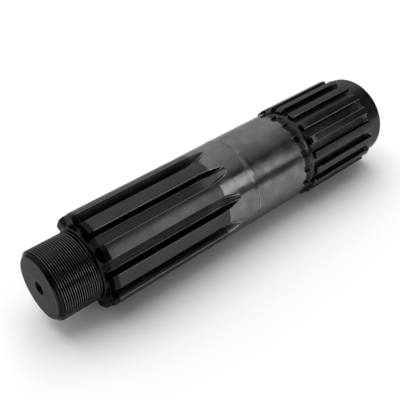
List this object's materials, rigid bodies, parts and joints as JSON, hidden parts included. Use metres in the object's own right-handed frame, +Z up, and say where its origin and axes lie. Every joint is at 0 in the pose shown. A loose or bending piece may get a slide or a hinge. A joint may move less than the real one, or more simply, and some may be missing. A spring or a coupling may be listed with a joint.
{
  "type": "splined shaft",
  "caption": "Heavy splined drive shaft with a threaded end, a parallel-sided spline, a ground journal, a finer spline and a rounded end collar.",
  "frame": {"origin": "on the shaft's axis at mid-length", "axes": "+X along the shaft's axis from the threaded end to the collar, +Z up with the shaft lying on its teeth"},
  "size_m": [0.393, 0.094, 0.0936],
  "materials": {
    "steel": "black oxide on the thread, splines and collar, bare ground steel along the middle"
  },
  "bodies": {
    "root": {"splined_shaft": "steel"}
  },
  "joints": []
}
